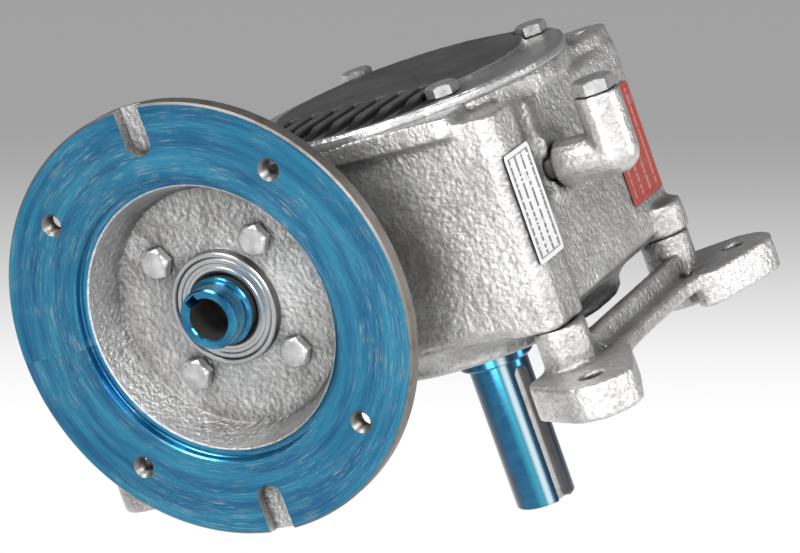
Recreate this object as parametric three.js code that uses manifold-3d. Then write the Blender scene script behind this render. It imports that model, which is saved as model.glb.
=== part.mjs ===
// Worm gearbox with a round motor flange, a solid output shaft and two cast foot bars.
// Millimetres, +Z up. The origin is the centre of the output shaft's end face.
// +Z runs up the output shaft's axis, and the worm's axis is parallel to Y.
import * as THREE from 'three';
import { mergeVertices } from 'three/addons/utils/BufferGeometryUtils.js';
import Module from 'manifold-3d';

const wasm = await Module();
wasm.setup();

// ---------------------------------------------------------------- driving dimensions
const GAP = 0.3;                 // air between two pieces that touch
const CENTRES = 66.7;            // worm axis to wheel axis
const WORM_Z = 143.5;            // height of the worm axis above the shaft's end
const WHEEL_TEETH = 30;
const MODULE = 10 / 3;           // axial module of the worm, one start
const WHEEL_PITCH_R = MODULE * WHEEL_TEETH / 2;
const WORM_PITCH_R = CENTRES - WHEEL_PITCH_R;
const LEAD = Math.PI * MODULE;

const FLANGE_FACE_Y = -112;      // motor flange's machined face
const FLANGE_R = 100;            // 200 mm flange, holes on 165, register 130
const FLANGE_PCD = 165;
const REGISTER_R = 65;
const MOTOR_BORE_R = 9.5;        // 19 mm motor shaft
const NECK_Y = -80.7;            // front and rear faces of the worm's barrel

const SHAFT_R = 14;              // 28 mm output shaft
const JOURNAL_R = 17.5;          // its seal land and bearing seats
const SHAFT_LENGTH = 195.5;
const SHOULDER_Z = 69.5;

const BODY = { left: -112, right: 74.5, near: -72, far: 72, bottom: 96, top: 190 };
const WALL = 8;
const COLUMN_X = 77;             // face of the thick column at the near right corner
const COVER_SEAT = 198;          // top of the housing's round flange
const COVER_R = 77;
const COVER_BOLT_R = 67;
const OPENING_R = 58;            // the wheel goes in through here
const BOSS_R = 65;               // round boss under the body, and its lower face
const BOSS_Z = 84;
const LOWER_BOSS_Z = 79;
const LANDING_Z = 110;           // top of the lands that the foot posts meet

const POSTS = { right: 70, left: -109, y: 60, r: 12 };
const PADS = { right: 90, left: -141, y: 83.5, r: 17.5 };
const FOOT = { bottom: 61, boltSeat: 67.5, web: 70, top: 77, ridge: 86 };

// ---------------------------------------------------------------- solids and meshes
const IRON_PAINT = { color: 0x8d8e90, roughness: 0.42, metalness: 0.75 };
const BLUE_LACQUER = { color: 0x0a6f9e, roughness: 0.22, metalness: 0.7 };
const MACHINED = { color: 0xa9abae, roughness: 0.3, metalness: 0.95 };
const BRIGHT_STEEL = { color: 0xc4c6c8, roughness: 0.25, metalness: 0.95 };
const BRONZE = { color: 0xb07a35, roughness: 0.35, metalness: 0.9 };
const RUBBER = { color: 0x17181a, roughness: 0.7, metalness: 0 };
const GASKET = { color: 0x3a3632, roughness: 0.9, metalness: 0 };
const PAPER = { color: 0xf2f2f0, roughness: 0.5, metalness: 0 };
const RED_FILM = { color: 0xc2503c, roughness: 0.4, metalness: 0 };

// A closed three.js geometry as a manifold solid, turned face out.
function solid(geometry) {
  const bare = geometry.clone();
  bare.deleteAttribute('normal');
  bare.deleteAttribute('uv');
  const merged = mergeVertices(bare, 1e-4);
  const p = merged.attributes.position.array;
  const kept = [];
  let volume = 0;
  for (let i = 0; i < merged.index.count; i += 3) {
    const [a, b, c] = [0, 1, 2].map((k) => merged.index.getX(i + k));
    if (a === b || b === c || c === a) continue;
    kept.push(a, b, c);
    const [u, v, w] = [a, b, c].map((k) => new THREE.Vector3().fromArray(p, 3 * k));
    volume += u.dot(v.cross(w));
  }
  if (volume < 0) kept.reverse();
  return new wasm.Manifold(new wasm.Mesh({
    numProp: 3,
    vertProperties: new Float32Array(p),
    triVerts: new Uint32Array(kept),
  }));
}

function geometryOf(body) {
  const mesh = body.getMesh();
  const geometry = new THREE.BufferGeometry();
  geometry.setAttribute('position', new THREE.BufferAttribute(mesh.vertProperties, 3));
  geometry.setIndex(new THREE.BufferAttribute(mesh.triVerts, 1));
  geometry.computeVertexNormals();
  return geometry;
}

const group = new THREE.Group();

function add(name, body, finish) {
  const mesh = new THREE.Mesh(geometryOf(body), new THREE.MeshStandardMaterial(finish));
  mesh.name = name;
  group.add(mesh);
}

const join = (...bodies) => bodies.reduce((sum, next) => sum.add(next));
const cut = (body, ...tools) => tools.reduce((rest, tool) => rest.subtract(tool), body);

function box(x0, x1, y0, y1, z0, z1) {
  const geometry = new THREE.BoxGeometry(x1 - x0, y1 - y0, z1 - z0);
  geometry.translate((x0 + x1) / 2, (y0 + y1) / 2, (z0 + z1) / 2);
  return solid(geometry);
}

// Round bar along Z, from z0 to z1, on the axis through x, y.
function barZ(x, y, r, z0, z1, sides = 24, rTop = r) {
  const geometry = new THREE.CylinderGeometry(rTop, r, z1 - z0, sides);
  geometry.rotateX(Math.PI / 2);
  geometry.translate(x, y, (z0 + z1) / 2);
  return solid(geometry);
}

// Round bar along Y, from y0 to y1, on the axis through x, z.
function barY(x, z, r, y0, y1, sides = 24, rEnd = r) {
  const geometry = new THREE.CylinderGeometry(rEnd, r, y1 - y0, sides);
  geometry.translate(x, (y0 + y1) / 2, z);
  return solid(geometry);
}

function barX(y, z, r, x0, x1, sides = 20) {
  const geometry = new THREE.CylinderGeometry(r, r, x1 - x0, sides);
  geometry.rotateZ(Math.PI / 2);
  geometry.translate((x0 + x1) / 2, y, z);
  return solid(geometry);
}

// Turned body: profile holds [radius, distance along the axis] pairs of a closed outline.
function turned(profile, sides) {
  const outline = [...profile, profile[0]].map(([r, along]) => new THREE.Vector2(r, along));
  return new THREE.LatheGeometry(outline, sides);
}

function turnedZ(profile, sides = 24) {
  const geometry = turned(profile, sides);
  geometry.rotateX(Math.PI / 2);
  return solid(geometry);
}

// Turned about the worm's axis; distances along the axis are Y.
function turnedWorm(profile, sides = 24) {
  const geometry = turned(profile, sides);
  geometry.translate(-CENTRES, 0, WORM_Z);
  return solid(geometry);
}

// Upright prism on a plan outline.
function prism(shape, z0, z1, curveSegments = 3) {
  const geometry = new THREE.ExtrudeGeometry(shape, {
    depth: z1 - z0, bevelEnabled: false, curveSegments,
  });
  geometry.translate(0, 0, z0);
  return solid(geometry);
}

function roundedRectangle(x0, x1, y0, y1, r) {
  const shape = new THREE.Shape();
  shape.absarc(x1 - r, y1 - r, r, 0, Math.PI / 2);
  shape.absarc(x0 + r, y1 - r, r, Math.PI / 2, Math.PI);
  shape.absarc(x0 + r, y0 + r, r, Math.PI, 1.5 * Math.PI);
  shape.absarc(x1 - r, y0 + r, r, 1.5 * Math.PI, 2 * Math.PI);
  shape.closePath();
  return shape;
}

// Hexagon head across flats `flats`, standing along Z from z0 to z1.
const hexZ = (x, y, flats, z0, z1) => barZ(x, y, flats / Math.sqrt(3), z0, z1, 6);

const sorted = (a, b) => [Math.min(a, b), Math.max(a, b)];
const corners = (dx, dy) => [[-dx, -dy], [dx, -dy], [dx, dy], [-dx, dy]];
const diagonal = (r) => corners(r / Math.SQRT2, r / Math.SQRT2);

// ---------------------------------------------------------------- housing
const FRONT_SEAT = { r: 31, y0: -77, y1: -61 };      // 30 x 62 x 16 bearing
const REAR_SEAT = { r: 26, y0: 52, y1: 67 };         // 25 x 52 x 15 bearing
const LOWER_SEAT = { r: 36, z0: 96, z1: 113 };       // 35 x 72 x 17 bearing
const UPPER_SEAT = { r: 36, z0: 177, z1: 194 };
const SEAT_PLAY = 0.3;
const FLANGE_BOLT_R = 37.5;
const CAP_BOLT_R = 33;
const ELBOW = { y: -22, z: 155.6, x: 104, r: 10.5, top: 182.5 };
const DRAIN = { x: -20, z: 112, r: 8 };
const EAR = { x: 61, y: 65, r: 12.5, top: 195, depth: 9, hole: 4.2 };

function housingShell() {
  const { left, right, near, far, bottom, top } = BODY;
  const block = prism(roundedRectangle(left, right, near, far, 5), bottom + 3, top - 3);
  const inset = prism(roundedRectangle(left + 3, right - 3, near + 3, far - 3, 4), bottom, top);
  const column = prism(roundedRectangle(50, COLUMN_X, near, -42, 7), bottom - 0.8, top + 3, 5);
  const lip = prism(roundedRectangle(-45, 60, near - 5, near + 20, 5), 188.5, COVER_SEAT, 4);
  const rim = barZ(0, 0, COVER_R, top - 1, COVER_SEAT, 40);
  const boss = barZ(0, 0, BOSS_R, BOSS_Z, bottom + 1, 32);
  const bossFlare = barZ(0, 0, BOSS_R, bottom - 7, bottom + 1, 32, BOSS_R + 7);
  const lowerBoss = barZ(0, 0, 42, LOWER_BOSS_Z, BOSS_Z + 1, 32);
  const neck = cut(join(
    barY(-CENTRES, WORM_Z, 50, NECK_Y, near + 1, 32),
    barY(-CENTRES, WORM_Z, 50, near - 5, near + 4, 32, 59),
  ), box(left - 40, right, near - 20, near + 20, bottom - 40, bottom));
  const rearNeck = barY(-CENTRES, WORM_Z, 43, far - 1, -NECK_Y, 32);
  const landings = [[POSTS.right, POSTS.y], [POSTS.left, POSTS.y], [POSTS.left, -POSTS.y]].map(
    ([x, y]) => barZ(x, y, 13.5, bottom - 0.8, LANDING_Z, 20));
  const shell = join(block, inset, column, lip, rim, boss, bossFlare, lowerBoss,
    neck, rearNeck, ...landings, ear(), elbowBoss());
  return cut(shell, valley());
}

// Scooped hollow in the right wall, between the corner column and the elbow.
function valley() {
  const [x, y, r, z0] = [80, -36.5, 9.5, 152];
  const foot = new THREE.SphereGeometry(r, 16, 8);
  foot.translate(x, y, z0);
  return join(barZ(x, y, r, z0, BODY.top - 2, 16), solid(foot));
}

// Lifting ear at the far right corner, under the level of the round flange.
function ear() {
  const { x, y, r, top, depth } = EAR;
  const shape = new THREE.Shape();
  shape.moveTo(30, 66);
  shape.lineTo(40, 30);
  shape.lineTo(70, 28);
  shape.lineTo(x + r + 1, y - 8);
  shape.absarc(x, y, r, -0.2, 0.5 * Math.PI + 0.3);
  shape.closePath();
  return prism(shape, top - depth, top);
}

function elbowBoss() {
  return barX(ELBOW.y, ELBOW.z, 15, 60, BODY.right + 1.5);
}

// The bearing bosses and bolt bosses that stand inside the cavity.
function innerBosses() {
  const front = barY(-CENTRES, WORM_Z, 41, -73, FRONT_SEAT.y1 + 4, 20);
  const rear = barY(-CENTRES, WORM_Z, 36, REAR_SEAT.y0 - 4, 73, 20);
  const lower = barZ(0, 0, 45, 95, LOWER_SEAT.z1 + 2, 20);
  const topRing = cut(barZ(0, 0, 76, 176, 190, 20), barZ(0, 0, OPENING_R, 175, 191, 28));
  const bolts = [];
  for (const x of [POSTS.left, POSTS.right]) {
    for (const y of [-POSTS.y, POSTS.y]) {
      bolts.push(barZ(x, y, 13, 95, LANDING_Z, 12));
    }
  }
  return [front, rear, lower, topRing, ...bolts];
}

function housing() {
  const { left, right, near, far, top } = BODY;
  const room = prism(
    roundedRectangle(left + WALL, right - WALL, near + WALL, far - WALL, 6), 104, top - 8);
  const cavity = cut(room, ...innerBosses());
  const bores = [
    barZ(0, 0, OPENING_R, 178, COVER_SEAT + 1, 28),
    barZ(0, 0, LOWER_SEAT.r + SEAT_PLAY, LOWER_SEAT.z0 - GAP, 120, 28),
    barZ(0, 0, 24, 80, 100, 20),
    barZ(0, 0, 28 + SEAT_PLAY, LOWER_BOSS_Z - 1, 90.5, 28),
    barY(-CENTRES, WORM_Z, FRONT_SEAT.r + SEAT_PLAY, NECK_Y - 1, FRONT_SEAT.y1 + GAP, 28),
    barY(-CENTRES, WORM_Z, 27, -65, -50, 20),
    barY(-CENTRES, WORM_Z, REAR_SEAT.r + SEAT_PLAY, REAR_SEAT.y0 - GAP, 82, 28),
    barY(-CENTRES, WORM_Z, 22, 40, 60, 20),
    barZ(EAR.x, EAR.y, EAR.hole, EAR.top - EAR.depth - 1, EAR.top + 1, 12),
    barX(ELBOW.y, ELBOW.z, 8 + SEAT_PLAY, 60, BODY.right + 3, 12),
    barY(DRAIN.x, DRAIN.z, DRAIN.r + SEAT_PLAY, far - WALL - 2, far + 2, 12),
  ];
  for (const [x, y] of diagonal(COVER_BOLT_R)) {
    bores.push(barZ(x, y, 4.2, 181, COVER_SEAT + 1, 8));
  }
  for (const [dx, dz] of diagonal(FLANGE_BOLT_R)) {
    bores.push(barY(dx - CENTRES, WORM_Z + dz, 4.2, NECK_Y - 1, -62, 8));
  }
  for (const [dx, dz] of diagonal(CAP_BOLT_R)) {
    bores.push(barY(dx - CENTRES, WORM_Z + dz, 3.2, 66, 82, 8));
  }
  for (const x of [POSTS.left, POSTS.right]) {
    for (const y of [-POSTS.y, POSTS.y]) {
      bores.push(barZ(x, y, 5.3, 90, LANDING_Z - 5, 10));
    }
  }
  return cut(housingShell(), cavity, ...bores);
}

add('housing', housing(), IRON_PAINT);

// ---------------------------------------------------------------- motor flange
const FLOOR_DEPTH = 22;
const SEAL_DEPTH = 17;

function motorFlange() {
  const profile = [
    [REGISTER_R, 0], [FLANGE_R, 0], [FLANGE_R, 7.5], [76, 9], [62, 31], [20, 31],
    [20, 26.5], [23.8, 26.5], [23.8, SEAL_DEPTH], [26, SEAL_DEPTH], [26, FLOOR_DEPTH],
    [55, FLOOR_DEPTH], [61, 4.5], [REGISTER_R, 4.5],
  ].map(([r, depth]) => [r, FLANGE_FACE_Y + depth]);
  const tools = [];
  for (const [dx, dz] of diagonal(FLANGE_PCD / 2)) {
    tools.push(barY(dx - CENTRES, WORM_Z + dz, 4.25, FLANGE_FACE_Y - 1, FLANGE_FACE_Y + 12, 12));
  }
  for (const [dx, dz] of diagonal(FLANGE_BOLT_R)) {
    tools.push(barY(dx - CENTRES, WORM_Z + dz, 4.4, FLANGE_FACE_Y + 20, NECK_Y + 1, 10));
  }
  for (const side of [-1, 1]) {
    tools.push(rimSlot(side));
  }
  return cut(turnedWorm(profile, 48), ...tools);
}

// Shallow keeper slot across the rim, round at its inner end.
function rimSlot(side) {
  const halfWidth = 6;
  const innerEnd = 84;
  const depth = 5;
  const y = [FLANGE_FACE_Y - 1, FLANGE_FACE_Y + depth];
  const z = sorted(WORM_Z + side * innerEnd, WORM_Z + side * (FLANGE_R + 2));
  return join(
    box(-CENTRES - halfWidth, -CENTRES + halfWidth, ...y, ...z),
    barY(-CENTRES, WORM_Z + side * innerEnd, halfWidth, ...y, 16),
  );
}

add('motor_flange', motorFlange(), BLUE_LACQUER);

const M6 = { flats: 10, head: 4, shank: 2.9 };
const M8 = { flats: 13, head: 5.4, shank: 3.9 };
const M10 = { flats: 16, head: 5.4, shank: 4.9 };

// Hexagon screw along Y, seated at y0 with its head towards -Y, or +Y where side is 1.
function screwY(x, z, size, length, y0, side = -1) {
  const shank = sorted(y0 + side, y0 - side * length);
  return join(
    barY(x, z, size.flats / Math.sqrt(3), ...sorted(y0, y0 + side * size.head), 6),
    barY(x, z, size.shank, ...shank, 8),
  );
}

diagonal(FLANGE_BOLT_R).forEach(([dx, dz], i) => {
  const seat = FLANGE_FACE_Y + FLOOR_DEPTH - GAP;
  add(`flange_bolt_${i + 1}`, screwY(dx - CENTRES, WORM_Z + dz, M8, 24, seat), BRIGHT_STEEL);
});

// ---------------------------------------------------------------- worm shaft
const WORM_TIP_R = WORM_PITCH_R + MODULE;
const WORM_ROOT_R = WORM_PITCH_R - 1.2 * MODULE;
const PRESSURE = Math.tan(THREE.MathUtils.degToRad(20));
const BACKLASH = 0.5;            // taken off each tooth and each thread
const THREAD_STEPS = 14;         // facets in one turn of the thread

// One thread, a trapezium swept along the helix; right hand about +Y.
function wormThread(length) {
  const steps = Math.round(THREAD_STEPS * length / LEAD);
  const half = (r) => LEAD / 4 - BACKLASH / 2 - (r - WORM_PITCH_R) * PRESSURE;
  const sunk = WORM_ROOT_R - 1.5;
  const section = [
    [sunk, half(WORM_ROOT_R)], [WORM_ROOT_R, half(WORM_ROOT_R)], [WORM_TIP_R, half(WORM_TIP_R)],
    [WORM_TIP_R, -half(WORM_TIP_R)], [WORM_ROOT_R, -half(WORM_ROOT_R)], [sunk, -half(WORM_ROOT_R)],
  ];
  const n = section.length;
  const points = [];
  const index = [];
  for (let i = 0; i <= steps; i += 1) {
    const y = length * (i / steps - 0.5);
    const angle = Math.PI / 2 + 2 * Math.PI * y / LEAD;
    for (const [r, offset] of section) {
      points.push(r * Math.sin(angle) - CENTRES, y + offset, r * Math.cos(angle) + WORM_Z);
    }
  }
  for (let i = 0; i < steps; i += 1) {
    for (let k = 0; k < n; k += 1) {
      const [a, b] = [i * n + k, i * n + (k + 1) % n];
      index.push(a, b, b + n, a, b + n, a + n);
    }
  }
  for (let k = 1; k < n - 1; k += 1) {
    index.push(0, k + 1, k);
    index.push(steps * n, steps * n + k, steps * n + k + 1);
  }
  const geometry = new THREE.BufferGeometry();
  geometry.setAttribute('position', new THREE.Float32BufferAttribute(points, 3));
  geometry.setIndex(index);
  return solid(geometry);
}

function wormShaft() {
  const profile = [
    [0, -62], [MOTOR_BORE_R, -62], [MOTOR_BORE_R, -109], [14, -109], [14, -98], [15.8, -98],
    [15, -95.5], [15, FRONT_SEAT.y1], [19, FRONT_SEAT.y1 + GAP], [19, -48], [WORM_ROOT_R, -36],
    [WORM_ROOT_R, 36], [16, 44], [16, REAR_SEAT.y0 - GAP], [12.5, REAR_SEAT.y0], [12.5, 70.5],
    [11.3, 70.5], [11.3, 72], [12.5, 72], [12.5, 73.5], [0, 73.5],
  ];
  const body = turnedWorm(profile, 20);
  const keyway = new THREE.BoxGeometry(6, 50, 6);
  keyway.translate(0, 0, 9.3);
  keyway.rotateY(THREE.MathUtils.degToRad(-27));
  keyway.translate(-CENTRES, -85, WORM_Z);
  return cut(join(body, wormThread(56)), solid(keyway));
}

add('worm_shaft', wormShaft(), BLUE_LACQUER);

// ---------------------------------------------------------------- seals
// Rotary seal: outer case, and a lip that stops just short of the shaft.
function sealProfile(bore, outer, a0, a1) {
  const mid = (a0 + a1) / 2;
  return [
    [outer, a0], [outer, a1], [outer - 2, a1], [outer - 2, mid], [bore + 2.4, mid],
    [bore + GAP, mid - 1.2], [bore + 2, a0],
  ];
}

add('input_oil_seal', turnedWorm(sealProfile(15, 23.5, -94.4, -86.4)), RUBBER);
add('output_oil_seal', turnedZ(sealProfile(JOURNAL_R, 28, 80, 90)), RUBBER);

// ---------------------------------------------------------------- ball bearings
const BALL_COUNT = 7;
const BALL_SHARE = 0.29;         // ball radius over the ring's radial width
const BALL_PLAY = 0.35;
const GROOVE_ANGLE = Math.asin(0.62);
const CAGE_HALF = 1.3;           // half the cage's radial thickness

// Outline of a race: a ring from wall to land with a round groove in the land.
// side is -1 for the inner race and 1 for the outer one.
function race(wall, pitch, ball, a0, a1, side) {
  const mid = (a0 + a1) / 2;
  const r = ball + BALL_PLAY;
  const groove = [-1, 0, 1].map((t) => {
    const angle = GROOVE_ANGLE * t;
    return [pitch + side * r * Math.cos(angle), mid + r * Math.sin(angle)];
  });
  const land = groove[0][0];
  return [[wall, a0], [land, a0], ...groove, [land, a1], [wall, a1]];
}

// make() turns a profile about the bearing's axis, and place() puts a point beside it.
function bearing(name, axis, bore, outer, a0, a1) {
  const { make, place } = axis;
  const pitch = (bore + outer) / 2;
  const ball = (outer - bore) * BALL_SHARE;
  const mid = (a0 + a1) / 2;
  add(`${name}_inner_race`, make(race(bore, pitch, ball, a0, a1, -1), 20), MACHINED);
  add(`${name}_outer_race`, make(race(outer, pitch, ball, a0, a1, 1), 20), MACHINED);

  const half = ball * Math.sin(GROOVE_ANGLE);
  const [inside, outside] = [pitch - CAGE_HALF, pitch + CAGE_HALF];
  const ring = make(
    [[inside, mid - half], [inside, mid + half], [outside, mid + half], [outside, mid - half]],
    2 * BALL_COUNT);
  const balls = [];
  for (let i = 0; i < BALL_COUNT; i += 1) {
    const angle = 2 * Math.PI * i / BALL_COUNT;
    const sphere = new THREE.SphereGeometry(ball, 6, 4);
    sphere.translate(...place(pitch * Math.cos(angle), pitch * Math.sin(angle), mid));
    balls.push(solid(sphere));
  }
  add(`${name}_balls_and_cage`, join(ring, ...balls), BRIGHT_STEEL);
}

const ABOUT_WORM = { make: turnedWorm, place: (u, v, y) => [u - CENTRES, y, v + WORM_Z] };
const ABOUT_SHAFT = { make: turnedZ, place: (u, v, z) => [u, v, z] };
const FRONT_BORE = 15 + GAP;
const REAR_BORE = 12.5 + GAP;
const SHAFT_BORE = JOURNAL_R + GAP;
bearing('front_bearing', ABOUT_WORM, FRONT_BORE, FRONT_SEAT.r, FRONT_SEAT.y0, FRONT_SEAT.y1);
bearing('rear_bearing', ABOUT_WORM, REAR_BORE, REAR_SEAT.r, REAR_SEAT.y0 + GAP, REAR_SEAT.y1);
bearing('lower_bearing', ABOUT_SHAFT, SHAFT_BORE, LOWER_SEAT.r, LOWER_SEAT.z0, LOWER_SEAT.z1);
bearing('upper_bearing', ABOUT_SHAFT, SHAFT_BORE, UPPER_SEAT.r, UPPER_SEAT.z0, UPPER_SEAT.z1);

// ---------------------------------------------------------------- worm's rear end
// Split ring in the groove at the end of the worm shaft.
function circlip() {
  const ring = turnedWorm([[11.6, 70.8], [15, 70.8], [15, 71.7], [11.6, 71.7]]);
  return cut(ring, box(-CENTRES - 2.5, -CENTRES + 2.5, 70, 73, WORM_Z + 5, WORM_Z + 20));
}

add('worm_circlip', circlip(), MACHINED);

const CAP_FACE_Y = 88;

function rearEndCap() {
  const holes = diagonal(CAP_BOLT_R).map(
    ([dx, dz]) => barY(dx - CENTRES, WORM_Z + dz, 3.4, 80, 89, 8));
  const spigot = REAR_SEAT.y1 + GAP;
  const outline = [
    [0, 78], [21, 78], [21, spigot], [REAR_SEAT.r, spigot], [REAR_SEAT.r, 81],
    [42, 81], [42, CAP_FACE_Y - 2], [38, CAP_FACE_Y], [0, CAP_FACE_Y],
  ];
  return cut(turnedWorm(outline, 28), ...holes);
}

add('rear_end_cap', rearEndCap(), IRON_PAINT);
diagonal(CAP_BOLT_R).forEach(([dx, dz], i) => {
  const screw = screwY(dx - CENTRES, WORM_Z + dz, M6, 18, CAP_FACE_Y + GAP, 1);
  add(`end_cap_bolt_${i + 1}`, screw, BRIGHT_STEEL);
});

// ---------------------------------------------------------------- worm wheel
const WHEEL_FACE = 24;
const RIM_SEAT_R = 40;
const HUB = { z0: 122.6, z1: 164.6, r: 30, bore: 20 };

// Half of a tooth's angle at radius r, from the involute of the pitch circle.
function halfToothAngle(r) {
  const involute = (a) => Math.tan(a) - a;
  const pitchAngle = THREE.MathUtils.degToRad(20);
  const baseR = WHEEL_PITCH_R * Math.cos(pitchAngle);
  const here = Math.acos(Math.min(1, baseR / r));
  const thickness = Math.PI * MODULE / 2 - BACKLASH;
  return thickness / (2 * WHEEL_PITCH_R) + involute(pitchAngle) - involute(here);
}

function wheelRim() {
  const tip = WHEEL_PITCH_R + MODULE;
  const root = WHEEL_PITCH_R - 1.2 * MODULE;
  const flank = [root, root + 2.3, WHEEL_PITCH_R + 0.4, tip];
  const points = [];
  for (let i = 0; i < WHEEL_TEETH; i += 1) {
    const centre = Math.PI + 2 * Math.PI * (i + 0.5) / WHEEL_TEETH;
    const sides = [...flank.map((r) => [r, -halfToothAngle(r)]),
      ...flank.toReversed().map((r) => [r, halfToothAngle(r)])];
    for (const [r, a] of sides) {
      points.push(new THREE.Vector2(r * Math.cos(centre + a), r * Math.sin(centre + a)));
    }
  }
  const outline = new THREE.Shape(points);
  const geometry = new THREE.ExtrudeGeometry(outline, { depth: WHEEL_FACE, bevelEnabled: false });
  const position = geometry.attributes.position;
  const twist = LEAD / (2 * Math.PI * WORM_PITCH_R * WHEEL_PITCH_R);
  for (let i = 0; i < position.count; i += 1) {
    const p = new THREE.Vector3().fromBufferAttribute(position, i);
    const above = p.z - WHEEL_FACE / 2;
    p.applyAxisAngle(new THREE.Vector3(0, 0, 1), twist * above);
    position.setXYZ(i, p.x, p.y, WORM_Z + above);
  }
  return cut(solid(geometry), barZ(0, 0, RIM_SEAT_R + GAP + 0.2, HUB.z0, HUB.z1, 32));
}

add('worm_wheel_rim', wheelRim(), BRONZE);

const KEY = { width: 12, bottom: 15, top: 23.3, z0: 126, z1: 161 };

function keySlot(play, z0, z1) {
  const half = KEY.width / 2 + play;
  return box(KEY.bottom - play, KEY.top + play, -half, half, z0, z1);
}

function wheelHub() {
  const face = WHEEL_FACE / 2;
  const profile = [
    [HUB.bore + GAP, HUB.z0], [HUB.r, HUB.z0], [HUB.r, WORM_Z - 7], [36, WORM_Z - face],
    [RIM_SEAT_R, WORM_Z - face], [RIM_SEAT_R, WORM_Z + face], [36, WORM_Z + face],
    [HUB.r, WORM_Z + 7], [HUB.r, HUB.z1], [HUB.bore + GAP, HUB.z1],
  ];
  return cut(turnedZ(profile, 32), keySlot(GAP, HUB.z0 - 1, HUB.z1 + 1));
}

add('wheel_hub', wheelHub(), IRON_PAINT);
add('wheel_key', keySlot(0, KEY.z0, KEY.z1), MACHINED);

function wheelSpacer() {
  const [inside, outside] = [JOURNAL_R + GAP, 24];
  const [z0, z1] = [HUB.z1 + 0.4, UPPER_SEAT.z0 - GAP];
  return turnedZ([[inside, z0], [outside, z0], [outside, z1], [inside, z1]]);
}

add('wheel_spacer', wheelSpacer(), MACHINED);

// ---------------------------------------------------------------- output shaft
const COLLAR_R = 23;
const SHAFT_KEYWAY = { width: 8, floor: 10, top: 62, turn: -21 };

function outputShaft() {
  const profile = [
    [0, 0], [SHAFT_R - 1, 0], [SHAFT_R, 1], [SHAFT_R, SHOULDER_Z],
    [JOURNAL_R - 1, SHOULDER_Z], [JOURNAL_R, SHOULDER_Z + 1],
    [JOURNAL_R, LOWER_SEAT.z1], [COLLAR_R, LOWER_SEAT.z1 + GAP], [COLLAR_R, HUB.z0 - GAP],
    [HUB.bore, HUB.z0], [HUB.bore, HUB.z1], [JOURNAL_R, HUB.z1 + 0.2],
    [JOURNAL_R, SHAFT_LENGTH - 1], [JOURNAL_R - 1, SHAFT_LENGTH], [0, SHAFT_LENGTH],
  ];
  const { width, floor, top, turn } = SHAFT_KEYWAY;
  const slot = new THREE.BoxGeometry(6, width, top + 2);
  slot.translate(floor + 3, 0, top / 2 - 1);
  const end = new THREE.CylinderGeometry(width / 2, width / 2, 6, 12);
  end.rotateZ(Math.PI / 2);
  end.translate(floor + 3, 0, top);
  for (const tool of [slot, end]) {
    tool.rotateZ(THREE.MathUtils.degToRad(turn));
  }
  const wheelKeySlot = keySlot(GAP, KEY.z0 - GAP, KEY.z1 + GAP);
  return cut(turnedZ(profile, 28), solid(slot), solid(end), wheelKeySlot);
}

add('output_shaft', outputShaft(), BLUE_LACQUER);

// ---------------------------------------------------------------- finned cover
const GASKET_THICK = 0.8;
const COVER = {
  seat: COVER_SEAT + GASKET_THICK + 2 * GAP, flange: 202.2, disc: 205.4, discR: 59.5,
};
const FIN_PITCH = 11.4;
const GROOVE_COUNT = 8;          // cooling grooves, all between the plain middle and the -Y edge
const GROOVE_START = 27;
const GROOVE_END_R = 73.5;       // the grooves stop short of the cover's edge
const GROOVE_FLOOR_Z = 200.8;
const RIB_X = (GROOVE_COUNT / 2) * FIN_PITCH + 1;

function cover() {
  const { seat, flange, disc, discR } = COVER;
  const bore = UPPER_SEAT.r + SEAT_PLAY;
  const roof = SHAFT_LENGTH + 1.5;
  const profile = [
    [0, roof], [bore, roof], [bore, UPPER_SEAT.z0 + 1], [44, UPPER_SEAT.z0 + 1], [46, 190],
    [OPENING_R - 1, 195], [OPENING_R - 1, seat], [COVER_R, seat], [COVER_R, flange],
    [discR + 1, flange], [discR, disc - 1], [discR - 1, disc], [0, disc],
  ];
  const ribs = barZ(0, 0, COVER_R - 2.5, flange - 0.5, disc, 40, discR)
    .intersect(box(-RIB_X, RIB_X, -COVER_R, COVER_R, seat, disc + 1));
  const tools = [];
  for (const [x, y] of diagonal(COVER_BOLT_R)) {
    tools.push(barZ(x, y, 8.4, flange, disc + 1, 12));
    tools.push(barZ(x, y, 4.4, seat - 1, flange + 1, 8));
  }
  for (let i = 0; i < GROOVE_COUNT; i += 1) {
    const x = (i - (GROOVE_COUNT - 1) / 2) * FIN_PITCH;
    const y = -Math.sqrt(GROOVE_END_R ** 2 - x ** 2);
    tools.push(box(x - 3.1, x + 3.1, y, -GROOVE_START, GROOVE_FLOOR_Z, disc + 1));
  }
  return cut(join(turnedZ(profile, 40), ribs), ...tools);
}

add('finned_cover', cover(), IRON_PAINT);

function coverGasket() {
  const z0 = COVER_SEAT + GAP;
  const disc = barZ(0, 0, COVER_R, z0, z0 + GASKET_THICK, 40);
  const opening = barZ(0, 0, OPENING_R, z0 - 1, z0 + 2, 28);
  const holes = diagonal(COVER_BOLT_R).map(([x, y]) => barZ(x, y, 4.4, z0 - 1, z0 + 2, 8));
  return cut(disc, opening, ...holes);
}

add('cover_gasket', coverGasket(), GASKET);

// Hexagon screw along Z, seated at z0: its head stands above, or below where side is -1.
function screwZ(x, y, size, length, z0, side = 1) {
  const shank = sorted(z0 + side, z0 - side * length);
  return join(
    hexZ(x, y, size.flats, ...sorted(z0, z0 + side * size.head)),
    barZ(x, y, size.shank, ...shank, 8),
  );
}

diagonal(COVER_BOLT_R).forEach(([x, y], i) => {
  add(`cover_bolt_${i + 1}`, screwZ(x, y, M8, 18, COVER.flange + GAP), BRIGHT_STEEL);
});

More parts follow.
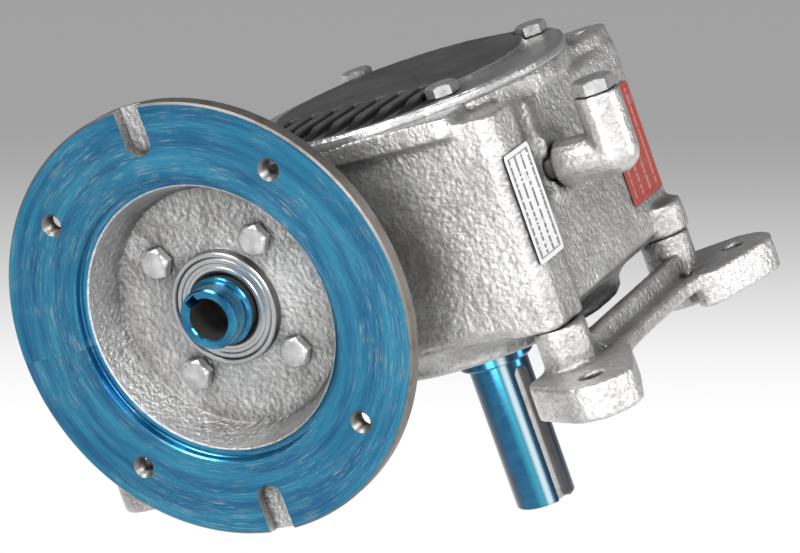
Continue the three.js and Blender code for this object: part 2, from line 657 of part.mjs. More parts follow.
// ---------------------------------------------------------------- foot bars
// Plan outline of a bar's flat web; `out` is +1 where the pads stand out towards +X.
function webOutline(postX, out) {
  const inner = postX - out * 11;
  const outer = postX + out * 16;
  const [narrow, wide, flare] = [16, 44, 4];
  const shape = new THREE.Shape();
  shape.moveTo(inner, -wide);
  shape.lineTo(outer + out * flare, -wide);
  shape.quadraticCurveTo(outer, -wide + 10, outer, -narrow);
  shape.lineTo(outer, narrow);
  shape.quadraticCurveTo(outer, wide - 10, outer + out * flare, wide);
  shape.lineTo(inner, wide);
  shape.closePath();
  return shape;
}

// Thick foot under one post: a toe beyond the post, the pad, and a heel along the bar.
// The heel of the far foot, on side 1, is cast a little wider than the near one.
function foot(postX, padX, out, side) {
  const disc = (x, y, r) => barZ(x, side * y, r, FOOT.bottom, FOOT.top, 20);
  const pad = disc(padX + out * 1.5, PADS.y, PADS.r);
  const heel = disc(padX - out * (2 - 1.5 * side), PADS.y - 34, 7);
  const toe = disc(postX, POSTS.y + 15.5, 13.5);
  const underPost = disc(postX, POSTS.y, POSTS.r + 0.5);
  return join(wasm.Manifold.hull([pad, heel]), wasm.Manifold.hull([pad, toe, underPost]));
}

function footBar(postX, padX, out) {
  const { bottom, boltSeat, web, top, ridge } = FOOT;
  const ridgeX = sorted(postX + out * 2, postX + out * 9);
  const bodies = [
    prism(webOutline(postX, out), web, top, 4),
    box(...ridgeX, -POSTS.y, POSTS.y, top - 1, ridge),
  ];
  const holes = [];
  for (const side of [-1, 1]) {
    const y = side * POSTS.y;
    bodies.push(barZ(postX, y, POSTS.r, web, BODY.bottom - 1 - GAP, 16));
    bodies.push(foot(postX, padX, out, side));
    holes.push(barZ(postX, y, 5.3, bottom - 1, 97, 10));
    holes.push(barZ(postX, y, 9.6, bottom - 1, boltSeat, 12));
    holes.push(barZ(padX, side * PADS.y, 5.2, bottom - 1, top + 1, 12));
  }
  return cut(join(...bodies), ...holes);
}

add('foot_bar_right', footBar(POSTS.right, PADS.right, 1), IRON_PAINT);
add('foot_bar_left', footBar(POSTS.left, PADS.left, -1), IRON_PAINT);

let footBolt = 1;
for (const x of [POSTS.left, POSTS.right]) {
  for (const y of [-POSTS.y, POSTS.y]) {
    add(`foot_bolt_${footBolt}`, screwZ(x, y, M10, 35, FOOT.boltSeat - GAP, -1), BRIGHT_STEEL);
    footBolt += 1;
  }
}

// ---------------------------------------------------------------- oil fittings
function breatherElbow() {
  const { x, y, z, r, top } = ELBOW;
  const corner = new THREE.SphereGeometry(r, 20, 10);
  corner.translate(x, y, z);
  const outside = join(
    barX(y, z, r, BODY.right + 2.5, x), barZ(x, y, r, z, top, 20), solid(corner),
    barX(y, z, 8, BODY.right - WALL + 1, BODY.right + 4, 12));
  return cut(outside, barX(y, z, 5, BODY.right - WALL, x, 8), barZ(x, y, 6.5, z - 5, top + 1, 12));
}

function breatherPlug() {
  const { x, y, top } = ELBOW;
  return join(hexZ(x, y, 17, top + GAP, top + 7), barZ(x, y, 6.2, top - 12, top + 1, 12));
}

function drainPlug() {
  const seat = BODY.far + GAP;
  return join(
    barY(DRAIN.x, DRAIN.z, 11, seat, seat + 2, 20),
    barY(DRAIN.x, DRAIN.z, 17 / Math.sqrt(3), seat, seat + 8, 6),
    barY(DRAIN.x, DRAIN.z, DRAIN.r, BODY.far - WALL, seat + 1, 12),
  );
}

add('breather_elbow', breatherElbow(), BRIGHT_STEEL);
add('breather_plug', breatherPlug(), BRIGHT_STEEL);
add('drain_plug', drainPlug(), BRIGHT_STEEL);

// ---------------------------------------------------------------- labels
const LABEL_THICK = 0.4;

// Sheet that faces +X, just off the wall at x.
const sheet = (x, ...sides) => box(x + GAP, x + GAP + LABEL_THICK, ...sides);

add('white_label', sheet(COLUMN_X, -70, -46, 124.5, 174), PAPER);
add('red_label', sheet(BODY.right, 34, 66, 116, 168), RED_FILM);

export default group;
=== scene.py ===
"""Looks of the worm gearbox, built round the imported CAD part. Sizes are in millimetres until
they become vertices, which are in metres, in the part's own frame."""

import math

import bmesh
import bpy
from mathutils import Matrix, Vector


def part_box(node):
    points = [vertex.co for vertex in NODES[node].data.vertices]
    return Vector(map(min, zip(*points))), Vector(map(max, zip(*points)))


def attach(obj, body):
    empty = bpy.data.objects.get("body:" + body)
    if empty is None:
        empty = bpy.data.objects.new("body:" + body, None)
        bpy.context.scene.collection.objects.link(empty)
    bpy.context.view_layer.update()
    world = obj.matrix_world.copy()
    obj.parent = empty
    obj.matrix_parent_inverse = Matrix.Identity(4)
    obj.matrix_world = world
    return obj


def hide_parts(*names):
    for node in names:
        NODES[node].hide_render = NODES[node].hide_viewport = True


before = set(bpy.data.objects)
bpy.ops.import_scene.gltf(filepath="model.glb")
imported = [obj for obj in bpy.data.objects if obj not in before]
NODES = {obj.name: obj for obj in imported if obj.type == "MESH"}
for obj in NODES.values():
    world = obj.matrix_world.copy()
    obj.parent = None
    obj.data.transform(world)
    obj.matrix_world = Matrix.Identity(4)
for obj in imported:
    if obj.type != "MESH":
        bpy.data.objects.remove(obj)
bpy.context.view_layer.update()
MM = 0.001


def cad_box(node):
    """Lowest corner, highest corner and middle of a CAD node, to a hundredth of a millimetre."""
    low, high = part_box(node)
    return [[round(c / MM, 2) for c in point] for point in (low, high, (low + high) / 2)]


# ------------------------------------------------------------------ sizes taken from the frame
FLANGE_LOW, FLANGE_HIGH, FLANGE_MIDDLE = cad_box("motor_flange")
WORM_X, _, WORM_Z = FLANGE_MIDDLE
FLANGE_Y = FLANGE_LOW[1]
FLANGE_R = (FLANGE_HIGH[0] - FLANGE_LOW[0]) / 2
END_CAP_Y = cad_box("rear_end_cap")[1][1]
COVER_DISC_Z = cad_box("finned_cover")[1][2]

# ------------------------------------------------------------------ sizes shared with the CAD
FLANGE_HOLES_R = 82.5
FLANGE_BOLT_R = 37.5
DISH_DEPTH = 22.0
END_CAP_BOLT_R = 33.0
COVER_BOLT_R = 67.0
COVER_FLANGE_Z = 202.2
COVER_DISC_R = 59.5
FINS_X = 46.6
FINS_R = 74.5
JOURNAL_R = 17.5
SHOULDER_Z = 69.5
KEYWAY_TURN = -21.0
WORM_KEYWAY_TURN = -27.0
FOOT_BOLT_SEAT = 67.2
GAP = 0.3
MODULE = 10 / 3
LEAD = math.pi * MODULE


# ------------------------------------------------------------------ node helpers
class Shader:
    """One node material, built by calls that return output sockets."""

    def __init__(self, name):
        self.material = bpy.data.materials.new(name)
        self.material.use_nodes = True
        self.tree = self.material.node_tree
        self.bsdf = self.tree.nodes["Principled BSDF"]
        place = self.tree.nodes.new("ShaderNodeTexCoord")
        self.place = place.outputs["Object"]

    def put(self, socket, value):
        if isinstance(value, bpy.types.NodeSocket):
            self.tree.links.new(value, socket)
        else:
            socket.default_value = value

    def node(self, kind, inputs=(), **settings):
        made = self.tree.nodes.new(kind)
        for key, value in settings.items():
            setattr(made, key, value)
        for key, value in dict(inputs).items():
            self.put(made.inputs[key], value)
        return made

    def noise(self, per_mm, detail=3.0, rough=0.55, where=None, stretch=None, distortion=0.0):
        """Smooth noise from 0 to 1 with per_mm lumps in a millimetre."""
        where = where or self.place
        if stretch:
            where = self.node("ShaderNodeMapping", {0: where, "Scale": stretch}).outputs[0]
        made = self.node("ShaderNodeTexNoise", {
            "Vector": where, "Scale": per_mm / MM, "Detail": detail, "Roughness": rough,
            "Distortion": distortion})
        return made.outputs["Fac"]

    def cells(self, per_mm):
        made = self.node("ShaderNodeTexVoronoi", {
            "Vector": self.place, "Scale": per_mm / MM, "Smoothness": 0.8},
            feature="SMOOTH_F1")
        return made.outputs["Distance"]

    def math(self, operation, a, b=0.0):
        return self.node("ShaderNodeMath", {0: a, 1: b}, operation=operation).outputs[0]

    def times(self, a, b):
        return self.math("MULTIPLY", a, b)

    def ramp(self, value, low, high, out_low=0.0, out_high=1.0):
        """value from low..high becomes out_low..out_high, held at both ends."""
        made = self.node("ShaderNodeMapRange", {
            0: value, 1: low, 2: high, 3: out_low, 4: out_high}, clamp=True)
        return made.outputs[0]

    def mix(self, share, a, b):
        made = self.tree.nodes.new("ShaderNodeMix")
        made.data_type = "RGBA"
        for index, value in ((0, share), (6, a), (7, b)):
            self.put(made.inputs[index], value)
        return made.outputs[2]

    def bump(self, height, depth_mm, strength=1.0, under=None):
        inputs = {"Height": height, "Distance": depth_mm * MM, "Strength": strength}
        if under:
            inputs["Normal"] = under
        return self.node("ShaderNodeBump", inputs).outputs[0]

    def split(self, vector):
        return self.node("ShaderNodeSeparateXYZ", {0: vector}).outputs

    def around(self, axis):
        """(radius, angle, distance along) about the worm's axis or the output shaft's axis."""
        centre = (WORM_X * MM, 0, WORM_Z * MM) if axis == "worm" else (0, 0, 0)
        moved = self.node("ShaderNodeVectorMath", {0: self.place, 1: centre},
                          operation="SUBTRACT")
        x, y, z = self.split(moved.outputs[0])
        u, v, along = (x, z, y) if axis == "worm" else (x, y, z)
        square = self.math("ADD", self.times(u, u), self.times(v, v))
        return self.math("SQRT", square), self.math("ARCTAN2", v, u), along

    def vector(self, x, y):
        return self.node("ShaderNodeCombineXYZ", {0: x, 1: y}).outputs[0]

    def patches(self, low, high):
        """Large soft patches, 0 to 1, that any coat of paint has."""
        return self.ramp(self.noise(0.035, detail=4.0, rough=0.65), low, high)

    def pointiness(self):
        """About 0.5 on flat ground, less in hollows and more on edges."""
        return self.node("ShaderNodeNewGeometry").outputs["Pointiness"]

    def tool_marks(self, axis, across_scale, angle_scale, detail=3.0, rough=0.6):
        """Noise drawn out round an axis, as a lathe tool or a rag leaves it."""
        radius, angle, along = self.around(axis)
        across = self.math("ADD", radius, self.times(along, 0.8))
        where = self.vector(self.times(across, across_scale), self.times(angle, angle_scale))
        return self.noise(1.0, detail, rough, where)

    def finish(self, color, roughness, metallic=0.0, normal=None, **uniform):
        inputs = self.bsdf.inputs
        self.put(inputs["Base Color"], color)
        self.put(inputs["Roughness"], roughness)
        self.put(inputs["Metallic"], metallic)
        if normal:
            self.put(inputs["Normal"], normal)
        for key, value in uniform.items():
            inputs[key.replace("_", " ")].default_value = value
        return self.material


def grey(value, warm=0.0):
    """Colour of one brightness, a little yellow where warm is over 0."""
    return (value * (1 + warm), value, value * (1 - warm), 1)


# ------------------------------------------------------------------ materials
def hammered(s, pits):
    """Orange-peel skin of thick silver paint over sand-cast iron."""
    coarse = s.noise(0.20, detail=2.0, distortion=0.6)
    lumps = s.cells(0.40)
    fine = s.noise(0.75, detail=4.0, rough=0.62)
    height = s.math("ADD", s.times(coarse, 0.9), s.times(lumps, 0.8))
    normal = s.bump(height, 0.55 * pits, 0.8)
    return s.bump(fine, 0.42 * pits, 0.85, under=normal)


def painted_hollow_shade(s, base, dark, near=0.95, far=0.6):
    """Darkens base with painted shade: in corners, and in the deep hollows between pieces."""
    corner_reach, hollow_reach = 12, 55
    for reach, share in ((corner_reach, near), (hollow_reach, far)):
        # Ambient occlusion sets how much painted shade each spot takes.
        hollow = s.node("ShaderNodeAmbientOcclusion", {"Distance": reach * MM}, samples=4)
        shade_amount = s.ramp(hollow.outputs["AO"], 0.86, 0.30, 0.0, share)
        base = s.mix(shade_amount, base, grey(dark))
    return base


def cast_paint(name, tone=0.66, pits=1.0, dark=0.09, metallic=0.88):
    """Silver paint over iron: mottled, with painted shade in creases and hollows and a painted
    highlight on edges and high spots.
    """
    s = Shader(name)
    normal = hammered(s, pits)
    base = s.mix(s.patches(0.34, 0.66), grey(tone * 0.72, 0.02), grey(tone * 1.16, 0.01))
    mottle = s.ramp(s.noise(0.55, detail=5.0, rough=0.7), 0.44, 0.64, 0.0, 0.55)
    base = s.mix(mottle, base, grey(tone * 0.42, 0.03))
    edge = s.pointiness()
    # Painted shade in creases, where the surface curves in.
    base = s.mix(s.ramp(edge, 0.50, 0.42, 0.0, 0.7), base, grey(dark, 0.03))
    # Painted highlight on edges and ridges.
    base = s.mix(s.ramp(edge, 0.52, 0.60, 0.0, 0.5), base, grey(0.72))
    # Painted shade in corners and in the deep hollows between pieces.
    base = painted_hollow_shade(s, base, dark * 0.5)
    rough = s.ramp(s.noise(0.3, detail=3.0), 0.3, 0.7, 0.30, 0.42)
    return s.finish(base, rough, metallic, normal)


def cover_paint(name):
    """The cover's paint: dull, with a painted dark reflection, on the disc and the fins, and
    painted shade where they lie low; silver on the fins' inner ends, the disc's edge and the
    flange round it."""
    s = Shader(name)
    x, _, z = s.split(s.place)
    faces_along_y = s.split(s.node("ShaderNodeNewGeometry").outputs["Normal"])[1]
    radius = s.around("shaft")[0]
    raised = s.ramp(z, (COVER_FLANGE_Z - 0.9) * MM, (COVER_FLANGE_Z - 0.3) * MM)
    disc = s.ramp(radius, (COVER_DISC_R - 0.3) * MM, (COVER_DISC_R - 0.9) * MM)
    in_width = s.ramp(s.math("ABSOLUTE", x), (FINS_X + 0.8) * MM, (FINS_X + 0.2) * MM)
    in_radius = s.ramp(radius, (FINS_R - 0.1) * MM, (FINS_R - 0.9) * MM)
    flanks = s.ramp(s.math("ABSOLUTE", faces_along_y), 0.70, 0.50)
    fins = s.times(s.times(in_width, in_radius), flanks)
    # Mask of the tops of the disc and the fins, which take the painted dark reflection.
    top = s.times(s.math("MAXIMUM", disc, fins), raised)
    normal = hammered(s, 0.6)
    silver = s.mix(s.patches(0.32, 0.68), grey(0.42, 0.01), grey(0.62))
    # Painted dark reflection: the tone given to the tops of the disc and the fins.
    dull = s.mix(s.patches(0.35, 0.65), grey(0.050), grey(0.085))
    # Painted shade: darker the further the surface lies below the disc's top, near black 1.8 mm
    # under it.
    groove_shade = s.ramp(z, (COVER_DISC_Z - 0.4) * MM, (COVER_DISC_Z - 1.8) * MM, 0.0, 0.93)
    dull = s.mix(groove_shade, dull, grey(0.006))
    # Silver with painted shade in its corners and hollows, and the painted dark reflection on the
    # tops.
    base = s.mix(top, painted_hollow_shade(s, silver, 0.04, far=0.3), dull)
    rough = s.ramp(top, 0.0, 1.0, 0.30, 0.55)
    return s.finish(base, rough, s.ramp(top, 0.0, 1.0, 0.86, 0.2), normal)


def painted_gasket(name):
    """Gasket paper whose outer edge is lost under the silver paint of its neighbours."""
    s = Shader(name)
    radius = s.around("shaft")[0]
    wobble = s.times(s.noise(0.3, detail=3.0), 1.5 * MM)
    outside = s.ramp(s.math("ADD", radius, wobble), 74.5 * MM, 75.2 * MM)
    base = s.mix(outside, (0.12, 0.11, 0.10, 1), grey(0.5))
    return s.finish(base, s.ramp(outside, 0, 1, 0.85, 0.32), s.ramp(outside, 0, 1, 0.0, 0.85),
                    hammered(s, 0.6))


DEEP_BLUE = (0.003, 0.105, 0.24, 1)
LIGHT_BLUE = (0.022, 0.24, 0.39, 1)
THIN_BLUE = (0.10, 0.40, 0.52, 1)
RUBBED_BARE = (0.42, 0.50, 0.52, 1)


def lacquer(name, axis, wear=0.5, streaks=1.0, rough=0.26, painted_reflections=()):
    """Blue lacquer over turned steel: tool marks run round the axis, with rubbed bare streaks.
    The last argument lists painted reflections and a painted highlight that run along the piece:
    (first angle, last angle, fade, colour), angles in degrees."""
    s = Shader(name)
    marks = s.tool_marks(axis, 1.3, 0.0016)
    broad = s.tool_marks(axis, 0.16, 0.0012, rough=0.5)
    scuffs = s.tool_marks(axis, 1.8, 0.006, detail=5.0, rough=0.75)
    clouds = s.noise(0.026, detail=4.0, rough=0.6)
    base = s.mix(s.ramp(broad, 0.38, 0.66, 0.0, streaks), DEEP_BLUE, LIGHT_BLUE)
    base = s.mix(s.ramp(clouds, 0.45, 0.72, 0.0, 0.35 * streaks), base, LIGHT_BLUE)
    base = s.mix(s.ramp(marks, 0.56, 0.74, 0.0, 0.5 * streaks), base, THIN_BLUE)
    bare = s.times(s.ramp(scuffs, 0.54, 0.66), s.ramp(clouds, 0.40, 0.58))
    base = s.mix(s.times(bare, wear), base, RUBBED_BARE)
    angle = s.around(axis)[1]
    # Painted reflections and highlights: colour laid in runs at fixed angles round the axis.
    for first, last, fade, reflection_tint in painted_reflections:
        a, b, f = math.radians(first), math.radians(last), math.radians(fade)
        inside = s.times(s.ramp(angle, a - f, a + f), s.ramp(angle, b + f, b - f))
        base = s.mix(s.times(inside, 0.9), base, reflection_tint)
    normal = s.bump(marks, 0.06, 0.5 * streaks)
    gloss = s.ramp(marks, 0.3, 0.7, rough - 0.06, rough + 0.08)
    return s.finish(base, gloss, 0.85, normal, Coat_Weight=0.4, Coat_Roughness=0.1)


def turned_metal(name, axis, tone=0.5, rough=0.3, warm=0.0, stain=0.3):
    """Bare turned steel or iron with fine rings and light stains."""
    s = Shader(name)
    rings = s.tool_marks(axis, 3.0, 0.0010)
    stains = s.ramp(s.noise(0.12, detail=5.0, rough=0.7), 0.5, 0.72)
    base = s.mix(s.ramp(rings, 0.35, 0.65), grey(tone * 0.85, warm), grey(tone * 1.1, warm))
    base = s.mix(s.times(stains, stain), base, (0.16, 0.11, 0.08, 1))
    roughness = s.ramp(rings, 0.3, 0.7, rough - 0.06, rough + 0.08)
    return s.finish(base, roughness, 0.9, s.bump(rings, 0.03, 0.5))


def bolt_paint(name):
    """Silver paint brushed over screw heads, with small dents and painted shade in the corners.
    """
    s = Shader(name)
    dents = s.noise(0.5, detail=4.0, rough=0.6)
    patches = s.noise(0.16, detail=3.0)
    base = s.mix(s.ramp(patches, 0.35, 0.65), grey(0.42, 0.02), grey(0.66))
    # Painted shade in the corners, where the surface curves in.
    base = s.mix(s.ramp(s.pointiness(), 0.49, 0.42, 0.0, 0.6), base, grey(0.12, 0.05))
    rough = s.ramp(dents, 0.3, 0.7, 0.24, 0.42)
    return s.finish(base, rough, 0.85, s.bump(dents, 0.18, 0.6))


def bronze(name):
    """Cut bronze, with marks drawn out across the wheel's width."""
    s = Shader(name)
    marks = s.noise(0.8, detail=4.0, stretch=(1, 1, 6))
    base = s.mix(s.ramp(marks, 0.3, 0.7), (0.42, 0.22, 0.07, 1), (0.66, 0.40, 0.15, 1))
    return s.finish(base, s.ramp(marks, 0.3, 0.7, 0.22, 0.4), 0.95, s.bump(marks, 0.04, 0.5))


def rubber(name, color, roughness, grain):
    """One dull tone broken by a fine grain."""
    s = Shader(name)
    lumps = s.noise(grain, detail=4.0, rough=0.7)
    dim = tuple(0.6 * c for c in color[:3]) + (1,)
    base = s.mix(s.ramp(lumps, 0.35, 0.65), dim, color)
    rough = s.ramp(lumps, 0.3, 0.7, roughness - 0.1, roughness + 0.08)
    return s.finish(base, rough, 0.0, s.bump(lumps, 0.06, 0.5))


def printed(name, paper, ink, frame_ink, node, lines, gloss):
    """Print on the CAD node, a sheet facing +X: a frame, and rows of plain bars where text
    would be."""
    s = Shader(name)
    low, high, _ = cad_box(node)
    _, y, z = s.split(s.place)
    u = s.ramp(y, low[1] * MM, high[1] * MM)
    v = s.ramp(z, low[2] * MM, high[2] * MM)
    row = s.math("FLOOR", s.times(u, lines))
    across = s.math("FRACT", s.times(u, lines))
    bar = s.times(s.ramp(across, 0.33, 0.37), s.ramp(across, 0.66, 0.62))
    words = s.node("ShaderNodeTexNoise", {
        "Vector": s.vector(s.times(row, 7.3), s.times(v, 34.0)),
        "Scale": 1.0, "Detail": 1.0}).outputs["Fac"]
    bar = s.times(bar, s.ramp(words, 0.42, 0.46))
    margin_u = s.math("ABSOLUTE", s.math("SUBTRACT", u, 0.5))
    margin_v = s.math("ABSOLUTE", s.math("SUBTRACT", v, 0.5))
    inside = s.times(s.ramp(margin_u, 0.40, 0.39), s.ramp(margin_v, 0.45, 0.445))
    outer = s.times(s.ramp(margin_u, 0.425, 0.415), s.ramp(margin_v, 0.461, 0.457))
    base = s.mix(s.times(s.times(bar, inside), 0.9), paper, ink)
    base = s.mix(s.math("SUBTRACT", outer, inside), base, frame_ink)
    dirt = s.ramp(s.noise(0.15, detail=5.0, rough=0.7), 0.55, 0.75, 0.0, 0.35)
    base = s.mix(dirt, base, (0.30, 0.29, 0.28, 1))
    normal = s.bump(s.noise(0.10, detail=2.0), 0.15, 0.4)
    return s.finish(base, s.ramp(dirt, 0.0, 0.35, gloss, gloss + 0.2), 0.0, normal)


IRON = cast_paint("silver paint on iron", tone=0.70, metallic=0.80)
DISH = cast_paint("silver paint in the dish", tone=0.56, pits=1.3)
ELBOW = cast_paint("bright cast fitting", tone=0.74, pits=0.55, dark=0.2)
COVER = cover_paint("cover paint")
GASKET = painted_gasket("painted gasket")
BLUE_FACE = lacquer("blue lacquer on the flange", "worm", wear=0.95)
BLUE_WORM = lacquer("blue lacquer on the worm shaft", "worm", wear=0.4, rough=0.18)
# Painted reflections and a painted highlight on the output shaft: runs of colour at fixed angles
# round it, dark navy and teal, cyan, a pale steel glint and violet.
NAVY_REFLECTION = (0.002, 0.010, 0.028, 1)
CYAN_REFLECTION = (0.05, 0.42, 0.55, 1)
PALE_STEEL_HIGHLIGHT = (0.72, 0.86, 0.90, 1)
TEAL_REFLECTION = (0.003, 0.018, 0.045, 1)
VIOLET_REFLECTION = (0.012, 0.012, 0.055, 1)
SHAFT_PAINTED_REFLECTIONS = [
    (-170, -112, 10, NAVY_REFLECTION),
    (-74, -60, 7, CYAN_REFLECTION),
    (-60, -49, 3, PALE_STEEL_HIGHLIGHT),
    (-45, -34, 3, TEAL_REFLECTION),
    (-6, 60, 8, VIOLET_REFLECTION),
]
BLUE_SHAFT = lacquer("blue lacquer on the output shaft", "shaft", wear=0.15, streaks=0.35,
                     rough=0.17, painted_reflections=SHAFT_PAINTED_REFLECTIONS)
RIM = turned_metal("flange rim", "worm", tone=0.24, rough=0.5, warm=0.07, stain=0.85)
TURNED_Y = turned_metal("turned about the worm axis", "worm", tone=0.5, rough=0.28)
TURNED_Z = turned_metal("turned about the shaft axis", "shaft", tone=0.55, rough=0.26)
KEYWAY = turned_metal("milled keyway", "shaft", tone=0.30, rough=0.42, stain=0.5)
BORE = turned_metal("motor bore", "worm", tone=0.22, rough=0.38, warm=0.04, stain=0.5)
BOLT = bolt_paint("silver paint on screws")
BRONZE = bronze("tin bronze")
RUBBER = rubber("seal rubber", (0.035, 0.035, 0.037, 1), 0.5, 1.5)


# ------------------------------------------------------------------ mesh helpers
def link(name, mesh, materials):
    """New object in the scene with these materials on its mesh."""
    piece = bpy.data.objects.new(name, mesh)
    bpy.context.scene.collection.objects.link(piece)
    for material in materials:
        mesh.materials.append(material)
    return piece


def applied(piece):
    """Turns the piece's modifiers into plain mesh."""
    shown = piece.evaluated_get(bpy.context.evaluated_depsgraph_get())
    mesh = bpy.data.meshes.new_from_object(shown)
    old = piece.data
    piece.modifiers.clear()
    piece.data = mesh
    bpy.data.meshes.remove(old)


def smooth(piece, angle):
    """Smooth shading, with faces that meet at more than angle (degrees) kept crisp."""
    mesh = piece.data
    mesh.shade_smooth()
    mesh.set_sharp_from_angle(angle=math.radians(angle))


def worm_point(r, angle, along):
    return (WORM_X + r * math.sin(angle), along, WORM_Z + r * math.cos(angle))


def shaft_point(r, angle, along):
    return (r * math.cos(angle), r * math.sin(angle), along)


def about(x, y, z, axis):
    """Places turned shapes on a line through x, y, z, along axis 'y' or 'z'."""
    if axis == "y":
        return lambda r, angle, along: (x + r * math.sin(angle), y + along,
                                        z + r * math.cos(angle))
    return lambda r, angle, along: (x + r * math.cos(angle), y + r * math.sin(angle), z + along)


def lathe(profile, place=shaft_point, sides=128, closed=True):
    """bmesh of the outline turned about an axis. Profile rows are (radius, along, material of
    the band that starts there); a radius of 0 becomes a single point."""
    bm = bmesh.new()
    rings = []
    for r, along, *_ in profile:
        if r <= 0:
            rings.append([bm.verts.new(Vector(place(0, 0, along)) * MM)])
        else:
            turn = [2 * math.pi * i / sides for i in range(sides)]
            rings.append([bm.verts.new(Vector(place(r, a, along)) * MM) for a in turn])
    count = len(profile) if closed else len(profile) - 1
    for k in range(count):
        a, b = rings[k], rings[(k + 1) % len(rings)]
        index = profile[k][2] if len(profile[k]) > 2 else 0
        for i in range(sides):
            j = (i + 1) % sides
            corners = [a[i % len(a)], a[j % len(a)], b[j % len(b)], b[i % len(b)]]
            unique = list(dict.fromkeys(corners))
            if len(unique) > 2:
                bm.faces.new(unique).material_index = index
    bmesh.ops.recalc_face_normals(bm, faces=bm.faces)
    return bm


def to_mesh(bm):
    mesh = bpy.data.meshes.new("part")
    bm.to_mesh(mesh)
    bm.free()
    return mesh


def block(x0, x1, y0, y1, z0, z1, turn=None, index=0):
    """Box between these planes, then turned. index is its material."""
    bm = bmesh.new()
    bmesh.ops.create_cube(bm, size=1)
    for v in bm.verts:
        v.co = Vector((x0 + (v.co.x + 0.5) * (x1 - x0), y0 + (v.co.y + 0.5) * (y1 - y0),
                       z0 + (v.co.z + 0.5) * (z1 - z0))) * MM
    if turn:
        bm.transform(turn)
    for face in bm.faces:
        face.material_index = index
    return bm


def combine(piece, tools, operation):
    """Cuts the tools (bmeshes) out of the piece, or joins them to it."""
    made = []
    for tool in tools:
        other = link("tool", to_mesh(tool), piece.data.materials[:])
        modifier = piece.modifiers.new("combine", "BOOLEAN")
        modifier.operation = operation
        modifier.object = other
        modifier.solver = "EXACT"
        made.append(other)
    applied(piece)
    for other in made:
        bpy.data.objects.remove(other)


def ease_edges(piece, width, angle):
    """Small round on every edge sharper than angle (degrees)."""
    modifier = piece.modifiers.new("edges", "BEVEL")
    modifier.width = width * MM
    modifier.segments = 2
    modifier.limit_method = "ANGLE"
    modifier.angle_limit = math.radians(angle)
    modifier.use_clamp_overlap = True
    applied(piece)


def place(piece, body, slot, node):
    """Puts the piece on its body instead of the CAD node, which it hides. slot is not used."""
    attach(piece, body)
    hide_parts(node)


# ------------------------------------------------------------------ cast pieces
POST_LIFT = 0.8
POST_TOPS_OVER = 90


def cast_skin(node, voxel, rounds, ripple, material, slot="painted_iron", raise_over=None):
    """The CAD piece with the round edges and uneven skin that a casting has. voxel and ripple
    are in millimetres. What stands higher than raise_over is lifted by POST_LIFT, to meet the
    casting over it."""
    piece = link(f"{node}_cast", NODES[node].data.copy(), [])
    piece.data.materials.clear()
    piece.data.materials.append(material)
    remesh = piece.modifiers.new("skin", "REMESH")
    remesh.mode = "VOXEL"
    remesh.voxel_size = voxel * MM
    soften = piece.modifiers.new("round", "SMOOTH")
    soften.factor = 0.5
    soften.iterations = rounds
    clouds = bpy.data.textures.new(f"{node} ripple", "CLOUDS")
    clouds.noise_scale = 5 * MM
    clouds.noise_depth = 1
    skin = piece.modifiers.new("ripple", "DISPLACE")
    skin.texture = clouds
    skin.texture_coords = "LOCAL"
    skin.strength = ripple * MM
    skin.mid_level = 0.75
    applied(piece)
    if raise_over:
        for vertex in piece.data.vertices:
            if vertex.co.z > raise_over * MM:
                vertex.co.z += POST_LIFT * MM
    piece.data.shade_smooth()
    place(piece, "gearcase", slot, node)


cast_skin("housing", 1.1, 14, 0.35, IRON)
cast_skin("foot_bar_right", 0.9, 12, 0.3, IRON, raise_over=POST_TOPS_OVER)
cast_skin("foot_bar_left", 0.9, 12, 0.3, IRON, raise_over=POST_TOPS_OVER)
cast_skin("finned_cover", 0.7, 3, 0.2, COVER)
cast_skin("breather_elbow", 0.6, 8, 0.08, ELBOW, "elbow_metal")
cast_skin("rear_end_cap", 0.9, 5, 0.2, IRON)


# ------------------------------------------------------------------ motor flange
def thread_cutter(place_at, r, pitch, depth, index, sides=32):
    """Ringed cutter that leaves the ridges of a tapped hole; its mouth is at along = 0."""
    rows = [(0, -2, index), (r + 0.9, -2, index), (r + 0.9, 0, index), (r, 0.9, index)]
    steps = int((depth - 1) / pitch)
    for k in range(steps):
        along = 1 + k * pitch
        rows.append((r - 0.45, along + 0.25 * pitch, index))
        rows.append((r + 0.1, along + 0.75 * pitch, index))
    rows.append((r - 0.45, depth, index))
    rows.append((0, depth, index))
    return lathe(rows, place_at, sides, closed=False)


def diagonal(r):
    """Four places at 45 degrees on a circle."""
    d = r / math.sqrt(2)
    return [(-d, -d), (d, -d), (d, d), (-d, d)]


FACE, CAST, EDGE, TURNED, THREAD = range(5)


